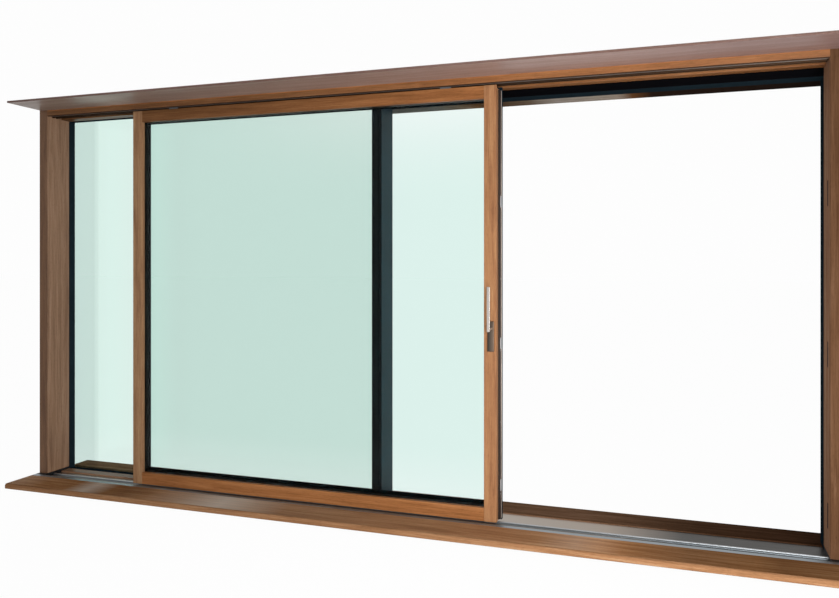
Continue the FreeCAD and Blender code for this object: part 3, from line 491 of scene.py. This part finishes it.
# The handle plate is painted cooler and darker at its left edge, a painted shade
plate_metal = drawn_metal("Satin bronze handle plate", "#5f564f", "#7c6f66", "Z", 0.36,
                          line=BRUSHED_LINE,
                          tone_and_shade=[(handle_left, "#707c80"), (handle_right, "#fff4e8")])
bronze = drawn_metal("Dark bronze faceplate", "#3b2d24", "#57453a", "Z", 0.42)
dress("running_rail", anodised)
dress("threshold_front_trim", trim_metal)
dress("threshold_cover", cover_metal)
dress("guide_channel", channel_metal)
for name in ("locking_points", "carriage_housings", "rollers", "carriage_rod"):
    dress(name, zinc)
dress("lock_faceplate", bronze)
dress("handle_plate", plate_metal)
dress("handle_lever", stainless)
print("metals finished, handle plate", round((handle_right - handle_left) / MM), "mm wide")

# %% [markdown]
# ## Rubber, plastic and glass fibre
# The seals are extruded rubber, the spacer between the panes a dark plastic,
# and the core of the threshold glass fibre. Each could have a network of its
# own, but what the eye sees is alike: a dark base with a fine moulded grain
# that breaks up the highlight. So they share a recipe and differ in colour,
# roughness and grain size.

# %% Moulded finishes
MOULD_GRAIN = 1.8 * MM
FIBRE_BUNDLE = 4 * MM
MOULD_DEPTH = 0.15 * MM


def moulded(name, deep, pale, rough, grain_size=MOULD_GRAIN, shine=0.2):
    material, tree = new_finish(name)
    here = add(tree, "ShaderNodeTexCoord").outputs["Object"]
    grain = add(tree, "ShaderNodeTexNoise",
                {"Vector": here, "Scale": 1.0 / grain_size, "Detail": 3.0})
    tone = add(tree, "ShaderNodeMix",
               {"Factor": grain.outputs[0], FIRST_COLOUR: linear(deep), SECOND_COLOUR: linear(pale)},
               data_type="RGBA")
    roughness = add(tree, "ShaderNodeMapRange",
                    {"Value": grain.outputs[0], "To Min": rough - 0.08, "To Max": rough + 0.10})
    bump = add(tree, "ShaderNodeBump",
               {"Height": grain.outputs[0], "Strength": 0.15, "Distance": MOULD_DEPTH})
    shader = add(tree, "ShaderNodeBsdfPrincipled",
                 {"Base Color": tone.outputs[MIXED_COLOUR], "Roughness": roughness.outputs[0],
                  "Normal": bump.outputs[0], "IOR": 1.5, "Specular IOR Level": shine})
    add(tree, "ShaderNodeOutputMaterial", {"Surface": shader.outputs[0]})
    return material


seal = moulded("Extruded rubber seal", "#050506", "#0f1011", 0.55)
# The head seal takes the dark brown of the shaded gap above the sash, a painted shade
shade_brown_seal = moulded("Extruded seal in painted brown shade", "#34241a", "#493326", 0.6, shine=0.05)
spacer = moulded("Warm edge spacer", "#0a0b0d", "#17191b", 0.5)
black_plastic = moulded("Moulded black polyamide", "#0b0b0c", "#1c1d1f", 0.45)
grey_plastic = moulded("Moulded grey polyamide", "#6d7072", "#8b8e90", 0.42)
cover_strip = moulded("Matte black cover strip", "#020203", "#07070a", 0.75, shine=0.02)
glass_fibre = moulded("Pultruded glass fibre", "#34383b", "#4a4f52", 0.6, grain_size=FIBRE_BUNDLE)
for name in ("sash_gaskets", "fixed_gaskets"):
    dress(name, seal)
dress("head_seal", shade_brown_seal)
for name in ("sash_spacer", "fixed_spacer"):
    dress(name, spacer)
for name in ("jamb_end_blocks", "lock_carrier"):
    dress(name, black_plastic)
dress("outer_head_cover", cover_strip)
dress("sash_guide_blocks", grey_plastic)
dress("threshold_core", glass_fibre)
print("seals and plastics finished, grain", round(MOULD_GRAIN / MM, 1), "mm")

# %% [markdown]
# ## Insulating glass
# Each glazed unit has two panes of float glass. Iron in the glass and the
# thin low emission film give a faint green blue cast. It could be made as a
# volume that swallows light, but panes six millimetres thick hardly need one,
# so the cast is the shader's own colour. Over it a pale painted reflection
# thins the cast a little at the foot of each pane and toward the head at the
# lock side of the sash. The fixed light is painted greenest at its left end,
# a painted reflection, with painted shade, a touch less light, in a narrow
# band beside the jamb. Glass has an index of refraction of 1.52, lets light
# through, and is slightly wavy from the tempering rollers, which a very weak
# bump with a long wavelength shows in reflections. The coating also cuts the
# mirror part, so that dark profiles stay dark behind the glass.

# %% Float glass
RIPPLE = 240 * MM
RIPPLE_DEPTH = 1.0 * MM
HEAD_FADE = 600 * MM
FOOT_FADE = 300 * MM
FADE_POWER = 2.0


def float_glass(name, pane, casts, drift_ends, head_reflection, foot_reflection, tone_and_shade=None):
    """Glass whose cast drifts from one tone to another between two places along X, a painted reflection.

    A pale painted reflection thins the cast toward the head of the pane's far end, and a little at its foot.
    """
    material, tree = new_finish(name)
    here = add(tree, "ShaderNodeTexCoord").outputs["Object"]
    ripple = add(tree, "ShaderNodeTexNoise", {"Vector": here, "Scale": 1.0 / RIPPLE, "Detail": 1.0})
    bump = add(tree, "ShaderNodeBump",
               {"Height": ripple.outputs[0], "Strength": 0.02, "Distance": RIPPLE_DEPTH})
    along = add(tree, "ShaderNodeSeparateXYZ", {"Vector": here})
    drift = add(tree, "ShaderNodeMapRange",
                {"Value": along.outputs["X"], "From Min": drift_ends[0], "From Max": drift_ends[1]},
                interpolation_type="SMOOTHSTEP")
    cast = add(tree, "ShaderNodeMix",
               {"Factor": drift.outputs[0], FIRST_COLOUR: linear(casts[0]), SECOND_COLOUR: linear(casts[1])},
               data_type="RGBA")
    foot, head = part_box(pane)[0][2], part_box(pane)[1][2]
    # Painted reflection: the cast thins toward the head of the pane's far end and at its foot
    rise = add(tree, "ShaderNodeMapRange",
               {"Value": along.outputs["Z"], "From Min": head - HEAD_FADE, "From Max": head})
    steep = add(tree, "ShaderNodeMath", {0: rise.outputs[0], 1: FADE_POWER}, operation="POWER")
    above = add(tree, "ShaderNodeMath", {0: steep.outputs[0], 1: drift.outputs[0]}, operation="MULTIPLY")
    below = add(tree, "ShaderNodeMapRange",
                {"Value": along.outputs["Z"], "From Min": foot, "From Max": foot + FOOT_FADE,
                 "To Min": foot_reflection, "To Max": 0.0})
    clear = add(tree, "ShaderNodeMath",
                {0: above.outputs[0], 1: head_reflection, 2: below.outputs[0]}, operation="MULTIPLY_ADD")
    # The cast mixed with white where the painted reflection lies
    cast_with_reflection = add(tree, "ShaderNodeMix",
               {"Factor": clear.outputs[0], FIRST_COLOUR: cast.outputs[MIXED_COLOUR],
                SECOND_COLOUR: linear("#ffffff")}, data_type="RGBA")
    shader = add(tree, "ShaderNodeBsdfPrincipled",
                 {"Base Color": tone_shade_and_sheen(tree, here, cast_with_reflection.outputs[MIXED_COLOUR], tone_and_shade=tone_and_shade),
                  "Roughness": 0.0, "IOR": 1.52,
                  "Transmission Weight": 1.0, "Normal": bump.outputs[0],
                  "Specular Tint": (0.05, 0.05, 0.05, 1.0)})
    add(tree, "ShaderNodeOutputMaterial", {"Surface": shader.outputs[0]})
    return material


# Sash glass: painted reflection at the head on the lock side and at the foot
dress("sash_glass_panes",
      float_glass("Coated float glass of the sash", "sash_glass_panes",
                  casts=("#edf8f5", "#eef9f6"), drift_ends=(-1.5, 0.6),
                  head_reflection=0.6, foot_reflection=0.27))
# Fixed light: greener at its left end as a painted reflection, with a narrow band of painted shade beside
# the jamb
dress("fixed_glass_panes",
      float_glass("Coated float glass of the fixed light", "fixed_glass_panes",
                  casts=("#edf9f5", "#f1f5f3"), drift_ends=(-2.0, -1.4),
                  head_reflection=0.0, foot_reflection=0.2,
                  tone_and_shade=[(-2.11, "#f5f6f6"), (-2.09, "#ffffff")]))
print("glazing finished, the cast thins over", round(HEAD_FADE / MM), "mm at the head")

# %% [markdown]
# ## Faceplate screws
# The lock faceplate runs nearly the whole height of the lock stile and is held
# by countersunk screws. A countersunk head is flush with the plate, so all that
# shows is a thin disc with a slightly domed face and a recess. A short
# cylinder would pass from afar, but has no soft rim to catch the light. So
# each head is turned from a short profile with the spin operator, and set on
# the plate by the plate's own box.

# %% Countersunk screws along the faceplate
HEAD_RADIUS = 4.0 * MM
HEAD_PROUD = 0.5 * MM
# From the recess to the rim, as shares of the height and the radius
HEAD_PROFILE = [(0.3, 0.0), (0.3, 0.35), (1.0, 0.45), (0.8, 0.8), (-0.2, 1.0)]
SCREW_SPACING = 380 * MM
FIRST_SCREW = 0.35           # share of the spacing below the first screw
SPIN_STEPS = 20
MERGE_WITHIN = 0.01 * MM


def screw_head(name, centre):
    """A low domed head facing +X."""
    mesh = bpy.data.meshes.new(name)
    shape = bmesh.new()
    points = [shape.verts.new((HEAD_PROUD * rise, HEAD_RADIUS * out, 0.0)) for rise, out in HEAD_PROFILE]
    edges = [shape.edges.new(pair) for pair in zip(points, points[1:])]
    bmesh.ops.spin(shape, geom=points + edges, cent=(0, 0, 0), axis=(1, 0, 0),
                   angle=math.tau, steps=SPIN_STEPS, use_merge=True)
    bmesh.ops.remove_doubles(shape, verts=shape.verts, dist=MERGE_WITHIN)
    bmesh.ops.recalc_face_normals(shape, faces=shape.faces)
    shape.to_mesh(mesh)
    shape.free()
    for face in mesh.polygons:
        face.use_smooth = True
    head = bpy.data.objects.new(name, mesh)
    head.location = centre
    bpy.context.scene.collection.objects.link(head)
    mesh.materials.append(zinc)
    return head


plate_low, plate_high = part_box("lock_faceplate")
plate_middle = (plate_low[1] + plate_high[1]) / 2
screw_count = int((plate_high[2] - plate_low[2]) / SCREW_SPACING)
for i in range(screw_count):
    level = plate_low[2] + SCREW_SPACING * (i + FIRST_SCREW)
    head = screw_head("faceplate_screw_%d" % (i + 1), (plate_high[0], plate_middle, level))
    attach(head, "sash")
print(screw_count, "screws on the faceplate")

# %% [markdown]
# ## Strips from an outline
# Two small pieces are alike in the making: an outline drawn once and stretched
# between two ends. A curve with a bevel object could do it as well. A mesh
# keeps exact flat ends and says plainly where every corner lies, so a helper
# builds one, and the outlines get their round edges from arcs.

# %% Stretch an outline between two ends
ARC_STEPS = 8


def arc(centre, radii, first, turn):
    """Points on part of an ellipse, from the angle first through the angle turn."""
    angles = [first + turn * i / ARC_STEPS for i in range(ARC_STEPS + 1)]
    return [(centre[0] + radii[0] * math.cos(a), centre[1] + radii[1] * math.sin(a)) for a in angles]


def stretched_outline(name, outline, place, ends, material):
    """A closed strip: place turns an outline point and an end into a point in space."""
    mesh = bpy.data.meshes.new(name)
    shape = bmesh.new()
    low, high = [[shape.verts.new(place(u, v, end)) for u, v in outline] for end in ends]
    for i in range(len(outline)):
        j = (i + 1) % len(outline)
        shape.faces.new((low[i], low[j], high[j], high[i]))
    shape.faces.new(low)
    shape.faces.new(reversed(high))
    bmesh.ops.recalc_face_normals(shape, faces=shape.faces)
    shape.to_mesh(mesh)
    shape.free()
    strip = bpy.data.objects.new(name, mesh)
    bpy.context.scene.collection.objects.link(strip)
    mesh.materials.append(material)
    return strip


print("an arc has", ARC_STEPS, "steps")

# %% [markdown]
# ## Edge bead
# Where the cladding turns round the lock stile, its front edge is closed by a
# narrow rounded bead of bare aluminium, which reads as one bright line down
# the edge of the sash. A bright stripe in the material would be flat. Half an
# ellipse, stretched over the height of the faceplate, catches the light as the
# real bead does.

# %% Half round bead down the lock edge
BEAD_HALF = 1.7 * MM
BEAD_PROUD = 1.3 * MM
BEAD_INSET = 0.2 * MM

bead_metal = drawn_metal("Bare aluminium bead", "#9a8e85", "#b8aca2", "Z", 0.35)
clad_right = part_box("sash_clad_stiles")[1][0]
bead_middle = clad_right - BEAD_HALF - BEAD_INSET
bead = stretched_outline("cladding_edge_bead",
                         arc((bead_middle, plate_high[1]), (BEAD_HALF, -BEAD_PROUD), 0.0, math.pi),
                         lambda u, v, end: (u, v, end), (plate_low[2], plate_high[2]), bead_metal)
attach(bead, "sash")
print("bead", round(plate_high[2] - plate_low[2], 3), "m long")

# %% [markdown]
# ## Offcut of the outer head board
# Outdoors, a short offcut carries the head board on behind the mullion, so
# that no open corner shows through the glass. A plain block would show sharp
# edges beside the board's round ones. So the offcut has the board's own
# outline, worked out from its box, and the board's own wood.

# %% Offcut behind the mullion
EDGE_ROUND = 4 * MM
OFFCUT = 78 * MM

board_low, board_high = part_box("outer_head_board")
quarter = math.pi / 2
round_out = board_high[1] - EDGE_ROUND
offcut_outline = [(board_low[1], board_low[2])]
offcut_outline += arc((round_out, board_low[2] + EDGE_ROUND), (EDGE_ROUND, EDGE_ROUND), -quarter, quarter)
offcut_outline += arc((round_out, board_high[2] - EDGE_ROUND), (EDGE_ROUND, EDGE_ROUND), 0.0, quarter)
offcut_outline += [(board_low[1], board_high[2])]
offcut = stretched_outline("outer_head_offcut", offcut_outline, lambda u, v, end: (end, u, v),
                           (board_low[0] - OFFCUT, board_low[0]),
                           pieces["outer_head_board"].data.materials[0])
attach(offcut, "frame")
print("offcut", round(OFFCUT / MM), "mm long")

# %% [markdown]
# ## Floor
# The door stands on a wide pale floor that runs to the horizon. To the camera
# it should look white, yet keep the soft shadow under the sill. A white floor
# alone would need so much light that the door turned pale. So the floor mixes
# a plain matte white with a white glow for the rays that look straight at it,
# through glass or in a reflection, while the light that it throws back on the
# door still comes from the matte part alone.

# %% Pale floor
FLOOR_HALF = 60.0
GLOW_SHARE = 0.975


def looking_rays(tree):
    """One for camera, glossy and transmission rays, zero for the light that falls on things."""
    path = add(tree, "ShaderNodeLightPath")
    first = add(tree, "ShaderNodeMath",
                {0: path.outputs["Is Camera Ray"], 1: path.outputs["Is Glossy Ray"]}, operation="MAXIMUM")
    return add(tree, "ShaderNodeMath",
               {0: first.outputs[0], 1: path.outputs["Is Transmission Ray"]}, operation="MAXIMUM")


floor_mesh = bpy.data.meshes.new("studio_floor")
corners = [(-FLOOR_HALF, -FLOOR_HALF, 0), (FLOOR_HALF, -FLOOR_HALF, 0),
           (FLOOR_HALF, FLOOR_HALF, 0), (-FLOOR_HALF, FLOOR_HALF, 0)]
floor_mesh.from_pydata(corners, [], [(0, 1, 2, 3)])
floor = bpy.data.objects.new("studio_floor", floor_mesh)
bpy.context.scene.collection.objects.link(floor)

pale, tree = new_finish("Pale studio floor")
matte = add(tree, "ShaderNodeBsdfDiffuse", {"Color": linear("#f4f4f2")})
glow = add(tree, "ShaderNodeEmission", {"Color": linear("#ffffff"), "Strength": 1.0})
share = add(tree, "ShaderNodeMath",
            {0: looking_rays(tree).outputs[0], 1: GLOW_SHARE}, operation="MULTIPLY")
blend = add(tree, "ShaderNodeMixShader",
            {0: share.outputs[0], 1: matte.outputs[0], 2: glow.outputs[0]})
add(tree, "ShaderNodeOutputMaterial", {"Surface": blend.outputs[0]})
floor_mesh.materials.append(pale)
print("floor", 2 * FLOOR_HALF, "m wide")

# %% [markdown]
# ## World
# Indoors, most light comes from the side and less from straight above. A
# picture of a room could light the door so, but it would also show in the
# glass. So the world is one pale colour whose strength falls off with height,
# which keeps the flat top of the sill deeper than its rounded nose. Seen
# directly, through the glass or in a gloss, it is white instead, just as white
# as the floor looks, so that no horizon shows.

# %% World light
SIDE_LIGHT = 0.76
TOP_LIGHT = 0.16
LOW_SKY, HIGH_SKY = 0.1, 0.8     # Z of a direction where the fall begins and ends
SEEN_WHITE = 0.984

world = bpy.data.worlds.new("Plain white studio")
bpy.context.scene.world = world
world.use_nodes = True
world.node_tree.nodes.clear()
tree = world.node_tree
direction = add(tree, "ShaderNodeTexCoord")
height = add(tree, "ShaderNodeSeparateXYZ", {"Vector": direction.outputs["Generated"]})
level = add(tree, "ShaderNodeMapRange",
            {"Value": height.outputs["Z"], "From Min": LOW_SKY, "From Max": HIGH_SKY,
             "To Min": SIDE_LIGHT, "To Max": TOP_LIGHT}, interpolation_type="SMOOTHSTEP")
lighting = add(tree, "ShaderNodeBackground", {"Color": linear("#f6f9ff"), "Strength": level.outputs[0]})
seen = add(tree, "ShaderNodeBackground", {"Color": linear("#ffffff"), "Strength": SEEN_WHITE})
choose = add(tree, "ShaderNodeMixShader",
             {0: looking_rays(tree).outputs[0], 1: lighting.outputs[0], 2: seen.outputs[0]})
add(tree, "ShaderNodeOutputWorld", {"Surface": choose.outputs[0]})
print("light from the side", SIDE_LIGHT, "and from above", TOP_LIGHT)

# %% [markdown]
# ## Two soft lamps
# The world alone leaves the door flat. One big area lamp from the front right
# gives the lock stile its warm brightness and lets the far left fall off
# gently, and a low one picks out the rounded nose of the sill and the
# underside above. A sun lamp would do it with hard shadows, which the soft
# light round the real door doesn't have. Camera rays and rays through the
# glass pass both lamps, so neither shows in a view from behind.

# %% Area lamps
def soft_lamp(name, place, target, size, power):
    """A rectangular lamp at a place, aimed at a target, with a power in watts."""
    data = bpy.data.lights.new(name, "AREA")
    data.shape = "RECTANGLE"
    data.size, data.size_y = size
    data.energy = power
    lamp = bpy.data.objects.new(name, data)
    lamp.location = place
    aim = Vector(target) - Vector(place)
    lamp.rotation_euler = aim.to_track_quat("-Z", "Y").to_euler()
    lamp.visible_camera = False
    lamp.visible_transmission = False
    bpy.context.scene.collection.objects.link(lamp)
    return lamp


main_lamp = soft_lamp("Soft lamp front right", place=(2.6, -3.5, 1.7), target=(0.7, 0.0, 1.1),
                      size=(2.2, 1.6), power=120.0)
low_lamp = soft_lamp("Low lamp before the sill", place=(1.9, -2.4, 0.35), target=(1.0, -0.35, 0.06),
                     size=(2.6, 0.4), power=46.0)
print("lamps of", main_lamp.data.energy, "and", low_lamp.data.energy, "W")

# %% [markdown]
# ## Camera
# The photograph was taken level, a little under a metre and a half from the
# floor and to the right of the door's middle, turned about nineteen degrees to
# the left. Upright edges stay upright because the camera is level. Tilting it
# down would bring the sill into view too, but would make the uprights lean, so
# a small vertical shift puts the horizon above the middle of the picture.

# %% Set the camera
IMAGE_WIDTH, IMAGE_HEIGHT = 839, 598
FOCAL_PIXELS = 793.44
HORIZON_ROW = 262
SENSOR = 36.0
CAMERA_PLACE = (1.6688, -4.1297, 1.429)
CAMERA_TURN = 19.01          # degrees to the left
CLIP_END = 400.0             # past the far corner of the floor

bpy.context.scene.view_settings.view_transform = "Standard"
lens = bpy.data.cameras.new("Photo camera")
lens.sensor_width = SENSOR
lens.lens = FOCAL_PIXELS / IMAGE_WIDTH * SENSOR
lens.shift_y = (HORIZON_ROW - IMAGE_HEIGHT / 2) / IMAGE_WIDTH
lens.clip_end = CLIP_END
camera = bpy.data.objects.new("Photo camera", lens)
camera.location = CAMERA_PLACE
camera.rotation_euler = (math.radians(90), 0, math.radians(CAMERA_TURN))
bpy.context.scene.collection.objects.link(camera)
bpy.context.scene.camera = camera
print("lens", round(lens.lens, 2), "mm, shift", round(lens.shift_y, 4))
